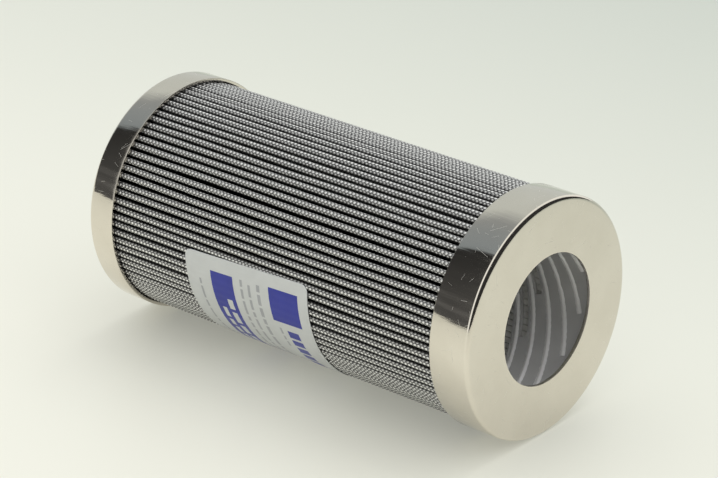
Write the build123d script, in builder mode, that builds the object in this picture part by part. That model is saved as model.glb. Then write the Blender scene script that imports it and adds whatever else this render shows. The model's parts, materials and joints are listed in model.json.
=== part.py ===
"""Pleated hydraulic filter element: two drawn end caps, a layered pleat pack and a slotted centre tube.

Millimetres. The element stands on its closed cap: +Z runs along its axis, from the closed cap's outer
face at Z = 0 to the bored cap's outer face.
"""

import math
import os

from build123d import *

# End caps, drawn from plated sheet
CAP_DIAMETER = 76.0
ELEMENT_LENGTH = 153.0
CAP_SHEET = 1.0
CAP_INNER_BEND = 0.4
OPEN_SKIRT_DEPTH = 14.2
CLOSED_SKIRT_DEPTH = 10.0
BORE_DIAMETER = 41.4

# Resin that beds the pleat pack and the centre tube in each cap
POTTING_DEPTH = 2.5

# Pleat pack, from its outside to its inside
PLEAT_COUNT = 86
OUTER_MESH_THICKNESS = 0.24
OUTER_FLEECE_THICKNESS = 0.08
MEDIA_THICKNESS = 0.18
INNER_FLEECE_THICKNESS = 0.08
INNER_MESH_THICKNESS = 0.24
RIDGE_GAP = 0.2
GROOVE_GAP = 0.1
TIP_CLEARANCE = 0.3
SEAM_ANGLE = 225.0
SEAM_SETBACK = 1.2

# Spiral-wound centre tube, with rows of slots along the strip
TUBE_WALL = 0.8
TUBE_CLEARANCE = 0.3
SLOT_ROWS = 11
SLOT_LEAD = 66.0
SLOT_LENGTH = 24.0
SLOT_WIDTH = 2.4
SLOT_SPACING = 44.0
SLOT_END_MARGIN = 6.0

# Label wrapped on the pleat tips
LABEL_HEIGHT = 50.0
LABEL_BASE_HEIGHT = 42.0
LABEL_WRAP = 70.0
LABEL_START_ANGLE = 39.0
LABEL_THICKNESS = 0.12
LABEL_STANDOFF = 0.05
LABEL_CORNER_RADIUS = 2.5

# Sizes that follow from the ones above
CAP_RADIUS = CAP_DIAMETER / 2
CAP_OUTER_BEND = CAP_INNER_BEND + CAP_SHEET
BORE_RADIUS = BORE_DIAMETER / 2
SKIRT_INNER_RADIUS = CAP_RADIUS - CAP_SHEET
TIP_RADIUS = SKIRT_INNER_RADIUS - TIP_CLEARANCE
PACK_BASE = CAP_SHEET + POTTING_DEPTH
PACK_LENGTH = ELEMENT_LENGTH - 2 * PACK_BASE
HALF_PITCH = math.pi / PLEAT_COUNT
FOLD_RADIUS = RIDGE_GAP / 2
INNER_FLEECE_OFFSET = INNER_MESH_THICKNESS
MEDIA_OFFSET = INNER_FLEECE_OFFSET + INNER_FLEECE_THICKNESS
OUTER_FLEECE_OFFSET = MEDIA_OFFSET + MEDIA_THICKNESS
OUTER_MESH_OFFSET = OUTER_FLEECE_OFFSET + OUTER_FLEECE_THICKNESS
PACK_THICKNESS = OUTER_MESH_OFFSET + OUTER_MESH_THICKNESS
# The pack is closed up onto the tube until its grooves are GROOVE_GAP wide at their roots.
ROOT_RADIUS = (FOLD_RADIUS + PACK_THICKNESS + GROOVE_GAP / 2) / math.tan(HALF_PITCH) - PACK_THICKNESS
TUBE_OUTER_RADIUS = ROOT_RADIUS - TUBE_CLEARANCE
TUBE_INNER_RADIUS = TUBE_OUTER_RADIUS - TUBE_WALL
RIDGE_CENTRE = TIP_RADIUS - PACK_THICKNESS - FOLD_RADIUS

os.makedirs("parts", exist_ok=True)


def turned(point, angle):
    """The point turned about the axis by an angle in radians."""
    x, y = point
    return (
        x * math.cos(angle) - y * math.sin(angle),
        x * math.sin(angle) + y * math.cos(angle),
    )


def flank_point(offset, reach):
    """Point on a pleat's flank, where it is `reach` from the axis along the groove beside it."""
    across = FOLD_RADIUS + offset
    return ((reach - across * math.sin(HALF_PITCH)) / math.cos(HALF_PITCH), across)


def ridge_points(offset):
    """Half an octagon round the fold of a ridge, in the ridge's own direction."""
    size = FOLD_RADIUS + offset
    corner = size * math.tan(math.pi / 8)
    half = [(RIDGE_CENTRE + corner, size), (RIDGE_CENTRE + size, corner)]
    return [(x, -y) for x, y in half] + [(x, y) for x, y in reversed(half)]


def sheet_line(offset):
    """One face of a pleated sheet, from one side of the seam right round to the other."""
    line = []
    for pleat in range(PLEAT_COUNT):
        angle = math.radians(SEAM_ANGLE) + (2 * pleat + 1) * HALF_PITCH
        first_root = ROOT_RADIUS + (offset if pleat > 0 else 0)
        last_root = ROOT_RADIUS + (offset if pleat < PLEAT_COUNT - 1 else 0)
        x, y = flank_point(offset, first_root)
        pleat_line = [(x, -y)] + ridge_points(offset) + [flank_point(offset, last_root)]
        line += [turned(point, angle) for point in pleat_line]
    return line


def end_cap_profile(skirt_depth, bore_radius):
    """Half section of a drawn cap, with its plate on the X axis and its skirt upward."""
    with BuildSketch(Plane.XZ) as profile:
        with BuildLine():
            Polyline(
                (bore_radius, 0),
                (CAP_RADIUS, 0),
                (CAP_RADIUS, skirt_depth),
                (SKIRT_INNER_RADIUS, skirt_depth),
                (SKIRT_INNER_RADIUS, CAP_SHEET),
                (bore_radius, CAP_SHEET),
                close=True,
            )
        make_face()
        outer_bend = profile.vertices().sort_by_distance((CAP_RADIUS, 0))[0]
        fillet(outer_bend, CAP_OUTER_BEND)
        inner_bend = profile.vertices().sort_by_distance((SKIRT_INNER_RADIUS, CAP_SHEET))[0]
        fillet(inner_bend, CAP_INNER_BEND)
    return profile.sketch


def write(piece, name):
    """Label a finished piece and write its STEP file."""
    piece.part.label = name
    export_step(piece.part, f"parts/{name}.step")


# Closed end cap: a plain drawn cup, standing on its plate
with BuildPart() as closed_end_cap:
    add(end_cap_profile(CLOSED_SKIRT_DEPTH, 0))
    revolve(axis=Axis.Z)
write(closed_end_cap, "closed_end_cap")

# Open end cap: the same cup with a deeper skirt and the bore, turned over onto the other end
with BuildPart() as open_end_cap:
    add(mirror(end_cap_profile(OPEN_SKIRT_DEPTH, BORE_RADIUS), Plane.XY.offset(ELEMENT_LENGTH / 2)))
    revolve(axis=Axis.Z)
write(open_end_cap, "open_end_cap")


def potting(base, face_height):
    """Resin ring between base and base + POTTING_DEPTH, eased where it meets the cap's bend."""
    with BuildPart() as ring:
        with BuildSketch(Plane.XY.offset(base)):
            Circle(SKIRT_INNER_RADIUS)
            Circle(TUBE_INNER_RADIUS, mode=Mode.SUBTRACT)
        extrude(amount=POTTING_DEPTH)
        rims = ring.edges().filter_by_position(Axis.Z, face_height, face_height)
        chamfer(rims.sort_by(SortBy.LENGTH)[-1], CAP_INNER_BEND)
    return ring


write(potting(CAP_SHEET, CAP_SHEET), "bottom_potting")
TOP_PLATE_HEIGHT = ELEMENT_LENGTH - CAP_SHEET
write(potting(TOP_PLATE_HEIGHT - POTTING_DEPTH, TOP_PLATE_HEIGHT), "top_potting")


def pleated_sheet(offset, thickness):
    """One sheet of the pack: a folded strip whose two ends meet at the seam."""
    outline = sheet_line(offset + thickness) + sheet_line(offset)[::-1]
    with BuildPart() as sheet:
        with BuildSketch(Plane.XY.offset(PACK_BASE)):
            with BuildLine():
                Polyline(*outline, close=True)
            make_face()
        extrude(amount=PACK_LENGTH)
    return sheet


write(pleated_sheet(OUTER_MESH_OFFSET, OUTER_MESH_THICKNESS), "outer_support_mesh")
write(pleated_sheet(OUTER_FLEECE_OFFSET, OUTER_FLEECE_THICKNESS), "outer_fleece")
write(pleated_sheet(MEDIA_OFFSET, MEDIA_THICKNESS), "filter_media")
write(pleated_sheet(INNER_FLEECE_OFFSET, INNER_FLEECE_THICKNESS), "inner_fleece")
write(pleated_sheet(0, INNER_MESH_THICKNESS), "inner_support_mesh")

# Side seam: the adhesive wedge that bonds the pack's first and last flanks to each other
with BuildPart() as side_seam:
    seam_ends = [
        turned(flank_point(PACK_THICKNESS, reach), -HALF_PITCH)
        for reach in (ROOT_RADIUS + SEAM_SETBACK, TIP_RADIUS - SEAM_SETBACK)
    ]
    seam_outline = seam_ends + [(x, -y) for x, y in reversed(seam_ends)]
    with BuildSketch(Plane.XY.offset(PACK_BASE)):
        with BuildLine():
            Polyline(*[turned(point, math.radians(SEAM_ANGLE)) for point in seam_outline], close=True)
        make_face()
    extrude(amount=PACK_LENGTH)
write(side_seam, "side_seam")


def slot_places():
    """A plane on the tube's wall for each slot, its X axis along the left-handed row."""
    rise = SLOT_LEAD / (2 * math.pi * TUBE_OUTER_RADIUS)
    row_angle = math.atan(rise)
    slot_rise = SLOT_SPACING * math.sin(row_angle)
    usable = PACK_LENGTH - 2 * SLOT_END_MARGIN
    slots = int(usable / slot_rise)
    first = PACK_BASE + (PACK_LENGTH - (slots - 1) * slot_rise) / 2
    places = []
    for row in range(SLOT_ROWS):
        for slot in range(slots):
            height = first + slot * slot_rise
            angle = 2 * math.pi * row / SLOT_ROWS - (height - first) * 2 * math.pi / SLOT_LEAD
            outward = (math.cos(angle), math.sin(angle), 0)
            along = (
                math.sin(angle) * math.cos(row_angle),
                -math.cos(angle) * math.cos(row_angle),
                math.sin(row_angle),
            )
            centre = (outward[0] * TUBE_OUTER_RADIUS, outward[1] * TUBE_OUTER_RADIUS, height)
            places.append(Plane(origin=centre, x_dir=along, z_dir=outward))
    return places


# Centre tube: carries the pack against the flow, slotted all over
with BuildPart() as centre_tube:
    with BuildSketch(Plane.XY.offset(PACK_BASE)):
        Circle(TUBE_OUTER_RADIUS)
        Circle(TUBE_INNER_RADIUS, mode=Mode.SUBTRACT)
    extrude(amount=PACK_LENGTH)
    with Locations(*slot_places()):
        # Each cutter reaches from halfway to the axis to well outside the wall.
        Box(SLOT_LENGTH, SLOT_WIDTH, TUBE_OUTER_RADIUS, mode=Mode.SUBTRACT)
write(centre_tube, "centre_tube")

# Label: one thin sheet lying on the pleat tips
with BuildPart() as label:
    label_inner_radius = TIP_RADIUS + LABEL_STANDOFF
    label_outer_radius = label_inner_radius + LABEL_THICKNESS
    label_angle = math.degrees(LABEL_WRAP / label_outer_radius)
    with BuildSketch(Plane.XZ):
        with Locations((label_inner_radius, LABEL_BASE_HEIGHT)):
            Rectangle(LABEL_THICKNESS, LABEL_HEIGHT, align=(Align.MIN, Align.MIN))
    revolve(axis=Axis.Z, revolution_arc=label_angle)
    corner_edges = label.edges().group_by(SortBy.LENGTH)[0]
    fillet(corner_edges, LABEL_CORNER_RADIUS)
label.part = label.part.rotate(Axis.Z, LABEL_START_ANGLE)
write(label, "label")
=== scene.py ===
"""Pleated filter element: finished surfaces, stage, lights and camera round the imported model."""

import json
import math

import bpy
import numpy as np
from mathutils import Matrix, Vector

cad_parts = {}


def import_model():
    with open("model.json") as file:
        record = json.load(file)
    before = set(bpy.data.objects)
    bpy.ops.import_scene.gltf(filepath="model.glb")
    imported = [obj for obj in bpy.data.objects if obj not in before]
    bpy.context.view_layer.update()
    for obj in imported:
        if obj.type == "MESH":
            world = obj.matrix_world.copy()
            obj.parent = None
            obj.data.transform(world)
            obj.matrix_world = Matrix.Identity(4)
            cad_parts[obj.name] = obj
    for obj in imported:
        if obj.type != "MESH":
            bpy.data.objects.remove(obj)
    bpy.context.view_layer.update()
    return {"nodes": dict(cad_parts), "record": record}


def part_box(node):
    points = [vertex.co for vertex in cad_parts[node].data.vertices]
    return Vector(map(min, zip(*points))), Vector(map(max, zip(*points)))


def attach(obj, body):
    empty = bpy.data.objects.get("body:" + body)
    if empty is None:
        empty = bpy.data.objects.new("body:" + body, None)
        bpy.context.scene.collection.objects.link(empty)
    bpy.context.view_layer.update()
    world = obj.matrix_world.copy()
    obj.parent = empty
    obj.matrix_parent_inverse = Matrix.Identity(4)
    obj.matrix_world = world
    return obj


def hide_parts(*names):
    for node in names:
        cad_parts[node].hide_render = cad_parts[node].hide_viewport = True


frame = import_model()

MM = 0.001

# Sizes read from the frame
CAP_LOW, CAP_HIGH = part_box("open_end_cap")
FAR_LOW, FAR_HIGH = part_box("closed_end_cap")
TUBE_LOW, TUBE_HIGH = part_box("centre_tube")
LABEL_LOW, LABEL_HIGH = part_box("label")
CLOTH_LOW, CLOTH_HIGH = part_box("outer_support_mesh")
BORE = next(m for m in frame["record"]["mounts"] if m["name"] == "bore")
LENGTH = CAP_HIGH[2]
CAP_RADIUS = CAP_HIGH[0]
BORE_RADIUS = BORE["dims"]["r_mm"] * MM
CAP_SHEET = BORE["dims"]["length_mm"] * MM
TUBE_RADIUS = TUBE_HIGH[0]

# Pleats, as in the CAD model
PLEAT_COUNT = 86
PLEAT_PITCH = 2 * math.pi / PLEAT_COUNT
SEAM_ANGLE = math.radians(225)
TIP_CLEARANCE = 0.3 * MM
TUBE_CLEARANCE = 0.3 * MM
FOLD_RADIUS = 0.92 * MM
TIP_RADIUS = CAP_RADIUS - CAP_SHEET - TIP_CLEARANCE
ROOT_RADIUS = TUBE_RADIUS + TUBE_CLEARANCE
RIDGE_CENTRE = TIP_RADIUS - FOLD_RADIUS

# Woven wire cloth: flat warp wires run along the pleats, and thin weft wires cross them
WARP_PITCH = 0.96 * MM
WEFT_PITCH = 0.71 * MM
WARP_SHARE = 0.42
WEFT_SHARE = 0.2
WIRE_RISE = 0.22
CLOTH_THICKNESS = 0.24 * MM
# Painted shade on the cloth darkens over this distance down each flank from the crest
SHADE_REACH = 3 * MM

# How far a pleat may wander from its place in the CAD model
MOST_WANDER = 0.27 * MM
MOST_DROP = 0.16 * MM
LEAN_SPREAD = 0.10 * MM
DROP_SPREAD = 0.07 * MM
SWING_SPREAD = 0.07 * MM
WAVES = 3
WAVE_STRETCH = 1.7

# Width of the sheet from a pleat's crest to its root
QUARTER_TURN = FOLD_RADIUS * math.pi / 2
ROOT_FOLD = 0.8 * MM
FLANK = RIDGE_CENTRE - ROOT_RADIUS - ROOT_FOLD
HALF_PLEAT = QUARTER_TURN + FLANK

# From crest to crest on the cloth, in whole pairs of warp wires, so that a wire lies on each crest
PLEAT_STEP = 2 * WARP_PITCH * round(HALF_PLEAT / WARP_PITCH)

# Floor that the element lies on in the picture: it touches the side away from FLOOR_UP
FLOOR_UP = Vector((math.sqrt(0.5), -math.sqrt(0.5), 0))
FLOOR_ACROSS = Vector((math.sqrt(0.5), math.sqrt(0.5), 0))
AXIS = Vector((0, 0, 1))

random = np.random.default_rng(7)


# ---------------------------------------------------------------- mesh helpers

def new_piece(name, verts, faces, material, uvs=None, smooth=True):
    """A mesh object from arrays of corners and faces, with one UV pair for each corner."""
    mesh = bpy.data.meshes.new(name)
    verts = np.asarray(verts, dtype=np.float32)
    faces = np.asarray(faces, dtype=np.int32)
    sides = faces.shape[1]
    mesh.vertices.add(len(verts))
    mesh.vertices.foreach_set("co", verts.ravel())
    mesh.loops.add(faces.size)
    mesh.loops.foreach_set("vertex_index", faces.ravel())
    mesh.polygons.add(len(faces))
    mesh.polygons.foreach_set("loop_start", np.arange(0, faces.size, sides, dtype=np.int32))
    mesh.polygons.foreach_set("use_smooth", np.full(len(faces), smooth))
    mesh.update(calc_edges=True)
    if uvs is not None:
        layer = mesh.uv_layers.new(name="surface")
        layer.data.foreach_set("uv", np.asarray(uvs, dtype=np.float32)[faces.ravel()].ravel())
    mesh.materials.append(material)
    piece = bpy.data.objects.new(name, mesh)
    bpy.context.scene.collection.objects.link(piece)
    return piece


def grid_faces(rows, columns, wrap=False, start=0):
    """Quads of a grid whose corners are numbered row by row."""
    last = columns if wrap else columns - 1
    row, column = np.meshgrid(np.arange(rows - 1), np.arange(last), indexing="ij")
    beside = (column + 1) % columns
    first = row * columns
    above = first + columns
    quads = np.stack([first + column, first + beside, above + beside, above + column], -1)
    return quads.reshape(-1, 4) + start


def lathe(name, profile, material, segments=256):
    """A ring turned about Z from a list of (radius, height) points, its UVs in metres."""
    profile = np.array(profile)
    angles = np.linspace(0, 2 * math.pi, segments + 1)
    steps = np.hypot(*np.diff(profile, axis=0).T)
    along = np.concatenate([[0], np.cumsum(steps)])
    radius, angle = np.meshgrid(profile[:, 0], angles, indexing="ij")
    height = np.repeat(profile[:, 1:], segments + 1, axis=1)
    verts = np.stack([radius * np.cos(angle), radius * np.sin(angle), height], -1).reshape(-1, 3)
    along = np.repeat(along[:, None], segments + 1, axis=1)
    uvs = np.stack([angle * CAP_RADIUS, along], -1).reshape(-1, 2)
    return new_piece(name, verts, grid_faces(len(profile), segments + 1), material, uvs)


def arc(centre, radius, start, end, steps=8):
    """Points (radius, height) on an arc between two angles in degrees."""
    turns = np.radians(np.linspace(start, end, steps + 1))
    return [(centre[0] + radius * math.cos(t), centre[1] + radius * math.sin(t)) for t in turns]


# ---------------------------------------------------------------- materials

class Tree:
    """Short calls for building a node tree."""

    def __init__(self, owner):
        owner.use_nodes = True
        self.nodes = owner.node_tree.nodes
        self.links = owner.node_tree.links

    def node(self, kind, **settings):
        made = self.nodes.new(kind)
        for key, value in settings.items():
            if hasattr(made, key):
                setattr(made, key, value)
            else:
                made.inputs[key.replace("_", " ")].default_value = value
        return made

    def link(self, source, target):
        self.links.new(source, target)

    def math(self, operation, *values):
        made = self.node("ShaderNodeMath", operation=operation)
        for socket, value in zip(made.inputs, values):
            if isinstance(value, (int, float)):
                socket.default_value = value
            else:
                self.link(value, socket)
        return made.outputs[0]

    def split(self, vector):
        made = self.node("ShaderNodeSeparateXYZ")
        self.link(vector, made.inputs[0])
        return made.outputs

    def ramp(self, value, *stops):
        made = self.node("ShaderNodeValToRGB")
        points = made.color_ramp.elements
        while len(points) < len(stops):
            points.new(0.5)
        for point, (place, colour) in zip(points, stops):
            point.position = place
            point.color = (*colour, 1)
        self.link(value, made.inputs["Fac"])
        return made.outputs["Color"]

    def blend(self, share, first, second):
        """Colour between two colours, each a socket or three numbers."""
        made = self.node("ShaderNodeMix", data_type="RGBA")
        self.link(share, made.inputs[0])
        for socket, colour in ((made.inputs[6], first), (made.inputs[7], second)):
            if isinstance(colour, tuple):
                socket.default_value = (*colour, 1)
            else:
                self.link(colour, socket)
        return made.outputs[2]


class Paint(Tree):
    """A material on a Principled shader."""

    def __init__(self, name, **sockets):
        self.material = bpy.data.materials.new(name)
        super().__init__(self.material)
        self.shader = self.nodes["Principled BSDF"]
        for key, value in sockets.items():
            self.shader.inputs[key.replace("_", " ")].default_value = value

    def surface_place(self, scale):
        """Vector of the surface coordinates in metres, stretched by scale."""
        place = self.node("ShaderNodeUVMap", uv_map="surface")
        mapping = self.node("ShaderNodeMapping", Scale=scale)
        self.link(place.outputs["UV"], mapping.inputs["Vector"])
        return mapping.outputs["Vector"]

    def object_place(self, scale=(1, 1, 1)):
        place = self.node("ShaderNodeTexCoord")
        mapping = self.node("ShaderNodeMapping", Scale=scale)
        self.link(place.outputs["Object"], mapping.inputs["Vector"])
        return mapping.outputs["Vector"]

    def noise(self, vector, scale, detail=3.0, roughness=0.5):
        made = self.node("ShaderNodeTexNoise", Scale=scale, Detail=detail, Roughness=roughness)
        self.link(vector, made.inputs["Vector"])
        return made.outputs["Fac"]

    def bump(self, height, distance, strength=1.0, normal=None):
        made = self.node("ShaderNodeBump", Strength=strength, Distance=distance)
        self.link(height, made.inputs["Height"])
        if normal is not None:
            self.link(normal, made.inputs["Normal"])
        return made.outputs["Normal"]

    def scratches(self, cell, width, share, start):
        """Straight scratches, one at most in each square cell: 1 on them and 0 beside them."""
        place = self.node("ShaderNodeVectorMath", operation="ADD")
        self.link(self.surface_place((1 / cell, 1 / cell, 1)), place.inputs[0])
        place.inputs[1].default_value = start
        whole = self.node("ShaderNodeVectorMath", operation="FLOOR")
        self.link(place.outputs[0], whole.inputs[0])
        local = self.node("ShaderNodeVectorMath", operation="SUBTRACT")
        self.link(place.outputs[0], local.inputs[0])
        self.link(whole.outputs[0], local.inputs[1])
        chance = self.node("ShaderNodeTexWhiteNoise")
        self.link(whole.outputs[0], chance.inputs["Vector"])
        turn, size, pick = self.split(chance.outputs["Color"])
        across, along, _ = self.split(local.outputs[0])
        across = self.math("SUBTRACT", across, 0.5)
        along = self.math("SUBTRACT", along, 0.5)
        angle = self.math("MULTIPLY", turn, math.pi)
        sine, cosine = self.math("SINE", angle), self.math("COSINE", angle)
        beside = self.math(
            "ADD", self.math("MULTIPLY", across, sine), self.math("MULTIPLY", along, cosine)
        )
        ahead = self.math(
            "SUBTRACT", self.math("MULTIPLY", across, cosine), self.math("MULTIPLY", along, sine)
        )
        reach = self.math("MULTIPLY", size, 0.45)
        thin = self.math("LESS_THAN", self.math("ABSOLUTE", beside), width / cell / 2)
        short = self.math("LESS_THAN", self.math("ABSOLUTE", ahead), reach)
        shown = self.math("LESS_THAN", pick, share)
        return self.math("MULTIPLY", self.math("MULTIPLY", thin, short), shown)

    def set(self, socket, source):
        self.link(source, self.shader.inputs[socket])


def grey(value):
    return (value, value, value)


def plated_metal(name):
    """Bright plating over drawn sheet: faint cloudiness, draw marks and fine scratches."""
    paint = Paint(name, Metallic=1.0)
    cloud = paint.noise(paint.object_place(), 70, 4)
    plating = paint.ramp(cloud, (0.3, (0.735, 0.69, 0.61)), (0.7, (0.785, 0.74, 0.66)))
    long = paint.scratches(cell=9 * MM, width=0.09 * MM, share=0.4, start=(0.3, 0.2, 0))
    small = paint.scratches(cell=3.2 * MM, width=0.07 * MM, share=0.3, start=(7.7, 3.1, 0))
    marks = paint.math("MAXIMUM", long, small)
    paint.set("Base Color", paint.blend(marks, plating, (0.84, 0.82, 0.76)))
    smear = paint.noise(paint.surface_place((420, 50, 1)), 1.0, 4)
    rough = paint.ramp(smear, (0.3, grey(0.05)), (0.75, grey(0.13)))
    paint.set("Roughness", paint.blend(marks, rough, grey(0.55)))
    waves = paint.noise(paint.surface_place((70, 70, 1)), 1.0, 2)
    drawn = paint.noise(paint.surface_place((700, 60, 1)), 1.0, 3)
    slow = paint.bump(waves, 0.0006, 0.15)
    paint.set("Normal", paint.bump(drawn, 0.0001, 0.25, slow))
    return paint.material


def wire_layer(paint, position, run, share, sign):
    """Height of one layer of wires, or -1 beside them.

    A wire stands at the middle of each whole step of position and runs along run.
    """
    offset = paint.math("SUBTRACT", paint.math("FRACT", position), 0.5)
    side = paint.math("DIVIDE", offset, share)
    fall = paint.math("MULTIPLY", side, side)
    rest = paint.math("MAXIMUM", paint.math("SUBTRACT", 1.0, fall), 0.0)
    top = paint.math("MULTIPLY", paint.math("SQRT", rest), WIRE_RISE)
    parity = paint.math("SIGN", paint.math("SINE", paint.math("MULTIPLY", position, math.pi)))
    swing = paint.math("SINE", paint.math("MULTIPLY", run, math.pi))
    rise = paint.math("MULTIPLY", paint.math("MULTIPLY", parity, swing), sign * WIRE_RISE)
    height = paint.math("ADD", paint.math("ADD", top, rise), 1.0)
    inside = paint.math("LESS_THAN", paint.math("ABSOLUTE", offset), share)
    return paint.math("SUBTRACT", paint.math("MULTIPLY", height, inside), 1.0)


def wire_cloth(name):
    """Plain woven wire: wires that pass over and under each other, with dark gaps between, painted
    highlights on the knuckle tops and painted shade down the flanks.
    """
    paint = Paint(name, Metallic=0.7)
    developed, along, _ = paint.split(paint.surface_place((1 / WARP_PITCH, 1 / WEFT_PITCH, 1)))
    across = paint.math("ADD", developed, 0.5)
    warp = wire_layer(paint, across, along, WARP_SHARE, 1)
    weft = wire_layer(paint, along, across, WEFT_SHARE, -1)
    height = paint.math("MAXIMUM", paint.math("MAXIMUM", warp, weft), -WIRE_RISE)
    share = paint.math("DIVIDE", paint.math("ADD", height, WIRE_RISE), 3 * WIRE_RISE)
    # Painted highlight and shade: the wires get lighter the higher they stand, brightest at the
    # knuckle tops, and where a warp wire lies on top they get a darker copy of these colours
    steel = paint.ramp(
        share, (0.15, grey(0.05)), (0.45, grey(0.35)), (0.7, grey(0.9)), (0.9, (1.0, 1.0, 0.98))
    )
    under = paint.ramp(share, (0.0, grey(0.03)), (0.5, grey(0.1)), (1.0, grey(0.3)))
    crossing = paint.math("GREATER_THAN", weft, warp)
    wires = paint.blend(crossing, steel, under)
    # Painted shade: the wires keep their colour on the crests and are darkened down the flanks,
    # nearly to black
    pleats = paint.math("MULTIPLY", developed, WARP_PITCH / PLEAT_STEP)
    beside = paint.math("SUBTRACT", paint.math("FRACT", paint.math("ADD", pleats, 0.5)), 0.5)
    down = paint.math("MULTIPLY", paint.math("ABSOLUTE", beside), PLEAT_STEP / SHADE_REACH)
    crest_light = paint.ramp(
        down, (0.15, grey(1)), (0.3, grey(0.72)), (0.5, grey(0.22)), (0.8, grey(0.05))
    )
    paint.set("Base Color", paint.blend(crest_light, grey(0.02), wires))
    patch = paint.noise(paint.object_place(), 260, 3)
    paint.set("Roughness", paint.ramp(patch, (0.3, grey(0.42)), (0.7, grey(0.3))))
    paint.set("Normal", paint.bump(height, WARP_PITCH, 0.5))
    return paint.material


def wire_metal(name):
    """Dull drawn wire."""
    paint = Paint(name, Metallic=0.3)
    patch = paint.noise(paint.object_place(), 300, 3)
    paint.set("Base Color", paint.ramp(patch, (0.3, (0.6, 0.6, 0.58)), (0.7, (0.75, 0.75, 0.72))))
    paint.set("Roughness", paint.ramp(patch, (0.3, grey(0.42)), (0.7, grey(0.3))))
    return paint.material


def fleece(name, dark, light):
    """Matted fibres: mottled at the scale of the fibres, with no shine."""
    paint = Paint(name, Roughness=0.9)
    fibres = paint.noise(paint.object_place((1, 1, 0.35)), 2500, 4, 0.7)
    paint.set("Base Color", paint.ramp(fibres, (0.3, dark), (0.7, light)))
    paint.set("Normal", paint.bump(fibres, 0.0001, 0.6))
    return paint.material


def tube_metal(name, tone):
    """Plated strip, dulled inside the element."""
    paint = Paint(name, Metallic=0.25)
    cloud = paint.noise(paint.object_place(), 120, 3)
    paint.set("Base Color", paint.ramp(cloud, (0.3, grey(0.9 * tone)), (0.7, grey(tone))))
    paint.set("Roughness", paint.ramp(cloud, (0.3, grey(0.4)), (0.7, grey(0.5))))
    paint.set("Normal", paint.bump(cloud, 0.0003, 0.3))
    return paint.material


def film(name, colour, shade):
    """Printed film: satin, a little uneven."""
    paint = Paint(name, Roughness=0.32)
    cloud = paint.noise(paint.object_place(), 180, 3)
    paint.set("Base Color", paint.ramp(cloud, (0.3, shade), (0.7, colour)))
    paint.set("Normal", paint.bump(cloud, 0.0002, 0.15))
    return paint.material


def resin(name):
    paint = Paint(name, Roughness=0.4)
    cloud = paint.noise(paint.object_place(), 250, 3)
    paint.set("Base Color", paint.ramp(cloud, (0.3, (0.3, 0.26, 0.18)), (0.7, (0.42, 0.37, 0.27))))
    return paint.material


# ---------------------------------------------------------------- pieces

CAP_INNER_BEND = 0.4 * MM
CUT_EDGE = 0.12 * MM
FLAT_START = 3 * MM
OPEN_CORNER = 0.05 * MM


def end_cap_profile(skirt, bore):
    """Outline of a drawn cap on its plate, from the plate's inside round to its outside."""
    inner_bend = CAP_INNER_BEND
    outer_bend = inner_bend + CAP_SHEET
    edge = CUT_EDGE
    inside = CAP_RADIUS - CAP_SHEET
    points = [(bore, CAP_SHEET), (inside - FLAT_START, CAP_SHEET)]
    points += arc((inside - inner_bend, CAP_SHEET + inner_bend), inner_bend, 270, 360)
    points += arc((inside + edge, skirt - edge), edge, 180, 90, 3)
    points += arc((CAP_RADIUS - edge, skirt - edge), edge, 90, 0, 3)
    points += [(CAP_RADIUS, skirt / 2)]
    points += arc((CAP_RADIUS - outer_bend, outer_bend), outer_bend, 0, -90, 12)
    points += [(inside - FLAT_START, 0)]
    if bore > 0:
        # Keeps the face flat right up to the rounding at the hole
        points += [(bore + 3 * edge, 0)]
        points += arc((bore + edge, edge), edge, 270, 180, 3)
        points += [(bore, CAP_SHEET - OPEN_CORNER)]
    else:
        points += [(0, 0)]
    return points


def end_caps():
    near = [(r, LENGTH - z) for r, z in end_cap_profile(CAP_HIGH[2] - CAP_LOW[2], BORE_RADIUS)]
    cap = lathe("open_cap", near, plated_metal("open cap plating"))
    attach(cap, "root")
    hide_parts("open_end_cap")
    far = end_cap_profile(FAR_HIGH[2] - FAR_LOW[2], 0)
    cap = lathe("closed_cap", far, plated_metal("closed cap plating"))
    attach(cap, "root")
    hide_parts("closed_end_cap")


class Folds:
    """The wandering line of each pleat, and points on a sheet laid over it."""

    def __init__(self):
        pleats = np.arange(PLEAT_COUNT)
        self.middle = SEAM_ANGLE + (pleats + 0.5) * PLEAT_PITCH
        self.lean = random.normal(0, LEAN_SPREAD, PLEAT_COUNT)
        self.drop = np.minimum(np.abs(random.normal(0, DROP_SPREAD, PLEAT_COUNT)), MOST_DROP)
        self.waves = random.uniform(0, 2 * math.pi, (WAVES, PLEAT_COUNT))
        self.swing = random.normal(0, SWING_SPREAD, (WAVES, PLEAT_COUNT))

    def shift(self, pleat, z):
        """Sideways wander of a ridge at height z."""
        total = self.lean[pleat]
        for order in range(WAVES):
            total = total + self.swing[order][pleat] * np.sin(
                (order + 1) * math.pi * z / LENGTH * WAVE_STRETCH + self.waves[order][pleat]
            )
        return MOST_WANDER * np.tanh(total / MOST_WANDER)

    def points(self, pleat, along, depth, z):
        """Points at arc length `along` from a ridge's crest, `depth` below its tip, at height z."""
        size = FOLD_RADIUS - depth
        quarter = size * math.pi / 2
        turn = np.clip(along / size, -math.pi / 2, math.pi / 2)
        past = np.maximum(np.abs(along) - quarter, 0)
        out = RIDGE_CENTRE + size * np.cos(turn) - past
        side = size * np.sin(turn)
        reach = (out - ROOT_RADIUS) / (TIP_RADIUS - ROOT_RADIUS)
        out = out - reach * self.drop[pleat]
        side = side + reach * self.shift(pleat, z)
        angle = self.middle[pleat]
        return np.stack(
            [
                out * np.cos(angle) - side * np.sin(angle),
                out * np.sin(angle) + side * np.cos(angle),
                z + np.zeros_like(out),
            ],
            -1,
        )


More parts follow.
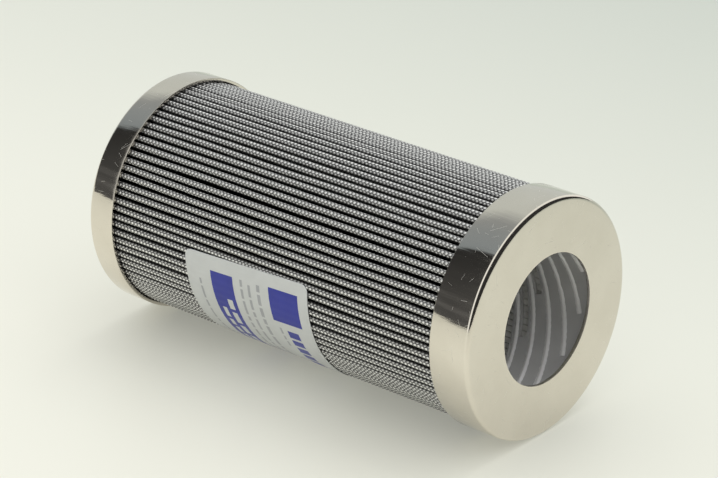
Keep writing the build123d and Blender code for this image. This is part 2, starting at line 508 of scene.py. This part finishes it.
def folded_sheet(folds, name, depth, material, turns, rows):
    """One sheet laid over every pleat, folded right down to the tube."""
    heights = np.linspace(CLOTH_LOW[2], CLOTH_HIGH[2], rows)
    quarter = (FOLD_RADIUS - depth) * math.pi / 2
    down_flank = quarter + FLANK * np.array([0.1, 0.3, 0.6, 1.0])
    half = np.concatenate([np.linspace(0, quarter, turns), down_flank])
    along = np.concatenate([-half[::-1], half[1:]])
    pleat, z, s = np.meshgrid(np.arange(PLEAT_COUNT), heights, along, indexing="ij")
    verts = folds.points(pleat, s, depth, z).transpose(1, 0, 2, 3).reshape(-1, 3)
    developed = pleat * PLEAT_STEP + s
    run = z + folds.waves[0][pleat] / math.pi * WEFT_PITCH
    uvs = np.stack([developed, run], -1).transpose(1, 0, 2, 3).reshape(-1, 2)
    faces = grid_faces(rows, PLEAT_COUNT * len(along), wrap=True)
    piece = new_piece(name, verts, faces, material, uvs)
    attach(piece, "root")
    return piece


def pleat_pack():
    folds = Folds()
    cloth = folded_sheet(folds, "wire_cloth", 0, wire_cloth("woven wire"), 7, 48)
    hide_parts("outer_support_mesh")
    dark = fleece("outer fleece", (0.012, 0.012, 0.011), (0.05, 0.05, 0.046))
    under = folded_sheet(folds, "pleat_fleece", CLOTH_THICKNESS, dark, 4, 30)
    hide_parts("outer_fleece")


LABEL_TILT = math.radians(2.5)
LABEL_THICKNESS = 0.12 * MM
LABEL_STANDOFF = 0.05 * MM
LABEL_RADIUS = TIP_RADIUS + LABEL_STANDOFF + LABEL_THICKNESS
LABEL_SAG = 0.035 * MM
LABEL_START = math.radians(39)
LABEL_WRAP = 70 * MM
LABEL_CORNER = 2.5 * MM
PRINT_CORNER = 0.05 * MM
LABEL_HEIGHT_ALONG = LABEL_HIGH[2] - LABEL_LOW[2]


def on_label(across, along, lift):
    """Points on the label: across runs round the element from its first edge, along runs up it."""
    middle = LABEL_HEIGHT_ALONG / 2
    turned_across = across * math.cos(LABEL_TILT) - (along - middle) * math.sin(LABEL_TILT)
    turned_along = across * math.sin(LABEL_TILT) + (along - middle) * math.cos(LABEL_TILT)
    angle = LABEL_START + turned_across / LABEL_RADIUS
    z = LABEL_LOW[2] + middle + turned_along - LABEL_WRAP / 2 * math.sin(LABEL_TILT)
    sag = 0.5 - 0.5 * np.cos(2 * math.pi * (angle - SEAM_ANGLE) / PLEAT_PITCH + math.pi)
    radius = LABEL_RADIUS + lift - LABEL_SAG * sag
    return np.stack([radius * np.cos(angle), radius * np.sin(angle), z], -1)


def label_patch(low, high, corner, lift, thickness):
    """A patch of the label with rounded corners, and with a cut edge if it has a thickness."""
    width, height = high[0] - low[0], high[1] - low[1]
    bend = corner * (1 - np.cos(np.linspace(0, math.pi / 2, 7)))
    middle = np.linspace(corner, height - corner, max(2, int(height / MM)))
    along = np.unique(np.concatenate([bend, middle, height - bend]).round(9))
    inset = np.minimum(along, height - along)
    chord = np.sqrt(np.maximum(corner**2 - (corner - inset) ** 2, 0))
    inset = np.where(inset < corner, corner - chord, 0)
    columns = max(4, int(width / (PLEAT_PITCH * LABEL_RADIUS) * 8))
    share = np.linspace(0, 1, columns)
    across = low[0] + inset[:, None] + share[None] * (width - 2 * inset[:, None])
    along = low[1] + np.repeat(along[:, None], columns, axis=1)
    verts = on_label(across, along, lift).reshape(-1, 3)
    uvs = np.stack([across, along], -1).reshape(-1, 2)
    rows = len(along)
    faces = grid_faces(rows, columns)
    if thickness > 0:
        index = np.arange(rows * columns).reshape(rows, columns)
        rim = np.concatenate([index[0], index[1:, -1], index[-1, -2::-1], index[-2:0:-1, 0]])
        under = on_label(uvs[rim, 0], uvs[rim, 1], lift - thickness)
        lower = len(verts) + np.arange(len(rim))
        verts = np.concatenate([verts, under])
        uvs = np.concatenate([uvs, uvs[rim]])
        edge = np.stack([rim, lower, np.roll(lower, -1), np.roll(rim, -1)], -1)
        faces = np.concatenate([faces, edge])
    return verts, faces, uvs


def label_piece(name, patches, material):
    starts = np.cumsum([0] + [len(verts) for verts, _, _ in patches])
    verts = np.concatenate([patch[0] for patch in patches])
    faces = np.concatenate([patch[1] + start for patch, start in zip(patches, starts)])
    uvs = np.concatenate([patch[2] for patch in patches])
    piece = new_piece(name, verts, faces, material, uvs)
    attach(piece, "root")
    return piece


def printed(low, high, lift):
    """A printed field, its corners in millimetres on the label."""
    return label_patch(np.array(low) * MM, np.array(high) * MM, PRINT_CORNER, lift, 0)


def dashes(start, end, middle, height, least, most, gap, lift):
    """A row of bars of uneven length that stands for a printed line."""
    fields = []
    while start + least < end:
        stop = min(start + random.uniform(least, most), end)
        fields.append(printed((start, middle - height / 2), (stop, middle + height / 2), lift))
        start = stop + gap
    return fields


def label():
    """A printed label with generic fields: across runs down the picture, along to its right."""
    white = film("label film", (0.68, 0.7, 0.705), (0.64, 0.66, 0.665))
    blue = film("blue ink", (0.022, 0.034, 0.37), (0.018, 0.028, 0.32))
    thin = film("grey ink", (0.44, 0.45, 0.48), (0.38, 0.39, 0.42))
    size = (LABEL_WRAP, LABEL_HEIGHT_ALONG)
    whole = label_patch((0, 0), size, LABEL_CORNER, 0, LABEL_THICKNESS)
    sheet = label_piece("label_film", [whole], white)
    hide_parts("label")
    ink, over = 0.012 * MM, 0.024 * MM
    fields = [printed((4.4, 34.2), (16.2, 46), ink), printed((5, 10.2), (60, 19.4), ink)]
    fields += dashes(19.2, 48, 41, 4.6, 2.4, 3.4, 1.1, ink)
    label_piece("label_blue", fields, blue)
    lines = []
    for start, end, middle, height in (
        (5, 60, 29.9, 1.3),
        (6, 60, 26.1, 1.0),
        (5, 60, 22.9, 1.0),
        (9, 60, 5.4, 0.8),
        (18.8, 30, 36, 0.8),
    ):
        lines += dashes(start, end, middle, height, 1.6, 5.5, 0.9, ink)
    label_piece("label_lines", lines, thin)
    words = dashes(14, 58, 16.6, 2.2, 3.5, 7, 1.4, over)
    words += dashes(18, 52, 13.0, 1.7, 2.5, 5, 1.2, over)
    label_piece("label_words", words, white)


# Slot rows of the centre tube, as in the CAD model
SLOT_ROWS = 11
SLOT_LEAD = 66 * MM
SLOT_SPACING = 44 * MM
SLOT_END_MARGIN = 6 * MM
TUBE_WALL = 0.8 * MM
BEAD_HALF_WIDTH = 1.1 * MM
BEAD_HEIGHT = 0.45 * MM
BEAD_END_MARGIN = 2 * MM
BEAD_SINK = 0.06 * MM


def tube_beads(material):
    """Stiffening beads pressed into the tube's wall, one between each two rows of slots."""
    row_angle = math.atan(SLOT_LEAD / (2 * math.pi * TUBE_RADIUS))
    slot_rise = SLOT_SPACING * math.sin(row_angle)
    length = TUBE_HIGH[2] - TUBE_LOW[2]
    slots = int((length - 2 * SLOT_END_MARGIN) / slot_rise)
    first = TUBE_LOW[2] + (length - (slots - 1) * slot_rise) / 2
    heights = np.linspace(TUBE_LOW[2] + BEAD_END_MARGIN, TUBE_HIGH[2] - BEAD_END_MARGIN, 150)
    offsets = np.linspace(-1, 1, 9)
    row, height, offset = np.meshgrid(np.arange(SLOT_ROWS) + 0.5, heights, offsets, indexing="ij")
    step = offset * BEAD_HALF_WIDTH
    inside = TUBE_RADIUS - TUBE_WALL
    angle = 2 * math.pi * row / SLOT_ROWS - (height - first) * 2 * math.pi / SLOT_LEAD
    angle = angle + step * math.sin(row_angle) / inside
    z = height + step * math.cos(row_angle)
    radius = inside + BEAD_SINK - BEAD_HEIGHT * (0.5 + 0.5 * np.cos(offset * math.pi))
    verts = np.stack([radius * np.cos(angle), radius * np.sin(angle), z], -1)
    one = len(heights) * len(offsets)
    faces = [grid_faces(len(heights), len(offsets), start=n * one) for n in range(SLOT_ROWS)]
    faces = np.concatenate(faces)
    uvs = np.stack([height, step], -1).reshape(-1, 2)
    piece = new_piece("tube_beads", verts.reshape(-1, 3), faces, material, uvs)
    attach(piece, "root")


def carried_nodes():
    """Materials for the CAD nodes that stay as they are."""
    finishes = {
        "centre_tube": tube_metal("tube steel", 0.55),
        "inner_support_mesh": wire_metal("inner wire"),
        "filter_media": fleece("filter media", (0.62, 0.61, 0.56), (0.8, 0.79, 0.75)),
        "inner_fleece": fleece("inner fleece", (0.5, 0.5, 0.47), (0.66, 0.66, 0.62)),
        "side_seam": resin("seam adhesive"),
        "top_potting": resin("top resin"),
        "bottom_potting": resin("bottom resin"),
    }
    for name, material in finishes.items():
        slots = frame["nodes"][name].material_slots
        for slot in slots:
            slot.link = "OBJECT"
            slot.material = material


# ---------------------------------------------------------------- stage, lights, camera

FLOOR_REACH = 4.0
FLOOR_SELF_LIT = 0.34


def floor():
    """Pale board under the element, with painted light that makes it lighter towards the camera,
    and clear from below.
    """
    reach = FLOOR_REACH
    corners = [
        -CAP_RADIUS * FLOOR_UP + a * reach * FLOOR_ACROSS + (b * reach + LENGTH / 2) * AXIS
        for a, b in ((-1, -1), (1, -1), (1, 1), (-1, 1))
    ]
    paint = Paint("floor", Roughness=0.38)
    # Painted light: the floor's colour runs from darker far from the camera to lighter near it
    nearness = paint.node("ShaderNodeVectorMath", operation="DOT_PRODUCT")
    paint.link(paint.object_place(), nearness.inputs[0])
    nearness.inputs[1].default_value = FLOOR_ACROSS
    shade = paint.math("ADD", nearness.outputs["Value"], 0.4)
    tone = paint.ramp(shade, (0.0, (0.5, 0.54, 0.487)), (0.45, (0.81, 0.81, 0.72)))
    paint.set("Base Color", tone)
    paint.shader.inputs["Specular IOR Level"].default_value = 0.35
    # The picture and the mirror-bright metal see a floor that is pale in the shadow too
    path = paint.node("ShaderNodeLightPath")
    seen = paint.math("MAXIMUM", path.outputs["Is Camera Ray"], path.outputs["Is Glossy Ray"])
    pale = paint.node("ShaderNodeEmission")
    paint.link(tone, pale.inputs["Color"])
    lifted = paint.node("ShaderNodeMixShader")
    paint.link(paint.math("MULTIPLY", seen, FLOOR_SELF_LIT), lifted.inputs[0])
    paint.link(paint.shader.outputs[0], lifted.inputs[1])
    paint.link(pale.outputs[0], lifted.inputs[2])
    # From below it is clear
    clear = paint.node("ShaderNodeBsdfTransparent")
    side = paint.node("ShaderNodeNewGeometry")
    mix = paint.node("ShaderNodeMixShader")
    paint.link(side.outputs["Backfacing"], mix.inputs[0])
    paint.link(lifted.outputs[0], mix.inputs[1])
    paint.link(clear.outputs[0], mix.inputs[2])
    output = paint.nodes["Material Output"]
    paint.link(mix.outputs[0], output.inputs["Surface"])
    faces = [(0, 1, 2, 3)]
    plane = new_piece("floor", corners, faces, paint.material, smooth=False)
    normal = plane.data.polygons[0].normal
    if normal.dot(FLOOR_UP) < 0:
        plane.data.flip_normals()


def area_lamp(name, place, size, power):
    """A square lamp that faces the middle of the element."""
    data = bpy.data.lights.new(name, "AREA")
    data.size = size
    data.energy = power
    lamp = bpy.data.objects.new(name, data)
    middle = Vector((0, 0, LENGTH / 2))
    lamp.location = middle + place
    lamp.rotation_euler = place.to_track_quat("Z", "Y").to_euler()
    lamp.visible_glossy = False
    bpy.context.scene.collection.objects.link(lamp)


def sky(tree, degrees):
    """Colour by the angle of a ray round the element's axis, from FLOOR_ACROSS over FLOOR_UP."""
    place = tree.node("ShaderNodeTexCoord").outputs["Generated"]
    parts = []
    for axis in (FLOOR_UP, FLOOR_ACROSS):
        dot = tree.node("ShaderNodeVectorMath", operation="DOT_PRODUCT")
        tree.link(place, dot.inputs[0])
        dot.inputs[1].default_value = axis
        parts.append(dot.outputs["Value"])
    turn = tree.math("ARCTAN2", *parts)
    share = tree.math("ADD", tree.math("DIVIDE", turn, 2 * math.pi), 0.5)
    return tree.ramp(share, *[(angle / 360 + 0.5, colour) for angle, colour in degrees])


def world():
    """A pale room, dim on the camera's side, with a strip light by the bored end.

    Mirror reflections, diffuse light and the camera each see it in tones of their own.
    """
    made = bpy.data.worlds.new("studio")
    bpy.context.scene.world = made
    tree = Tree(made)
    bright = (0.63, 0.66, 0.64)
    room = [
        (-179, bright), (-10, bright), (-7, grey(0.1)), (8, grey(0.075)), (11, grey(0.13)),
        (14, grey(0.075)), (19, grey(0.065)), (22, grey(0.11)), (25, grey(0.06)), (60, grey(0.03)),
        (68, grey(0.025)), (71, (0.27, 0.305, 0.33)), (90, (0.295, 0.325, 0.345)),
        (104, (0.33, 0.35, 0.36)), (120, bright),
    ]
    round_axis = sky(tree, room)
    height = tree.split(tree.node("ShaderNodeTexCoord").outputs["Generated"])[2]
    share = tree.math("ADD", tree.math("MULTIPLY", height, 0.5), 0.5)
    strip = tree.ramp(share, (0.27, grey(0)), (0.29, grey(1)), (0.56, grey(1)), (0.58, grey(0)))
    with_strip = tree.blend(strip, round_axis, (1.0, 1.0, 0.97))
    end = tree.ramp(share, (0.57, grey(0)), (0.59, grey(1)))
    mirrored = tree.blend(end, with_strip, grey(0.03))
    low_light = (0.52, 0.51, 0.47)
    room_light = [
        (-179, grey(0.8)), (-5, grey(0.8)), (-2, low_light), (30, low_light), (50, grey(0.85)),
        (75, grey(1.25)), (110, grey(1.35)),
    ]
    soft = sky(tree, room_light)
    path = tree.node("ShaderNodeLightPath")
    lit = tree.blend(path.outputs["Is Glossy Ray"], soft, mirrored)
    shown = tree.blend(path.outputs["Is Camera Ray"], lit, (0.8, 0.8, 0.745))
    base = tree.nodes["Background"]
    tree.link(shown, base.inputs["Color"])
    base.inputs["Strength"].default_value = 1.0


def camera():
    """Long lens on the bored end, level with the floor that the element lies on."""
    data = bpy.data.cameras.new("camera")
    data.sensor_width = 36
    data.lens = 160.4
    place = Vector((775.7, 188.8, 662.7)) * MM
    aim = Vector((0.2, -3.8, 77.4)) * MM
    back = (place - aim).normalized()
    right = FLOOR_UP.cross(back).normalized()
    up = back.cross(right)
    made = bpy.data.objects.new("camera", data)
    made.matrix_world = Matrix(
        [
            (right.x, up.x, back.x, place.x),
            (right.y, up.y, back.y, place.y),
            (right.z, up.z, back.z, place.z),
            (0, 0, 0, 1),
        ]
    )
    bpy.context.scene.collection.objects.link(made)
    bpy.context.scene.camera = made


end_caps()
pleat_pack()
label()
# Painted highlight: the beads get the tube's steel at a much lighter tone than the tube itself, so
# that they show as light streaks
tube_beads(tube_metal("bead steel with painted highlight", 0.92))
carried_nodes()
floor()
world()
area_lamp("overhead", 2.4 * FLOOR_UP - 1.2 * FLOOR_ACROSS, 1.6, 12)
camera()
bpy.context.scene.view_settings.view_transform = "Standard"
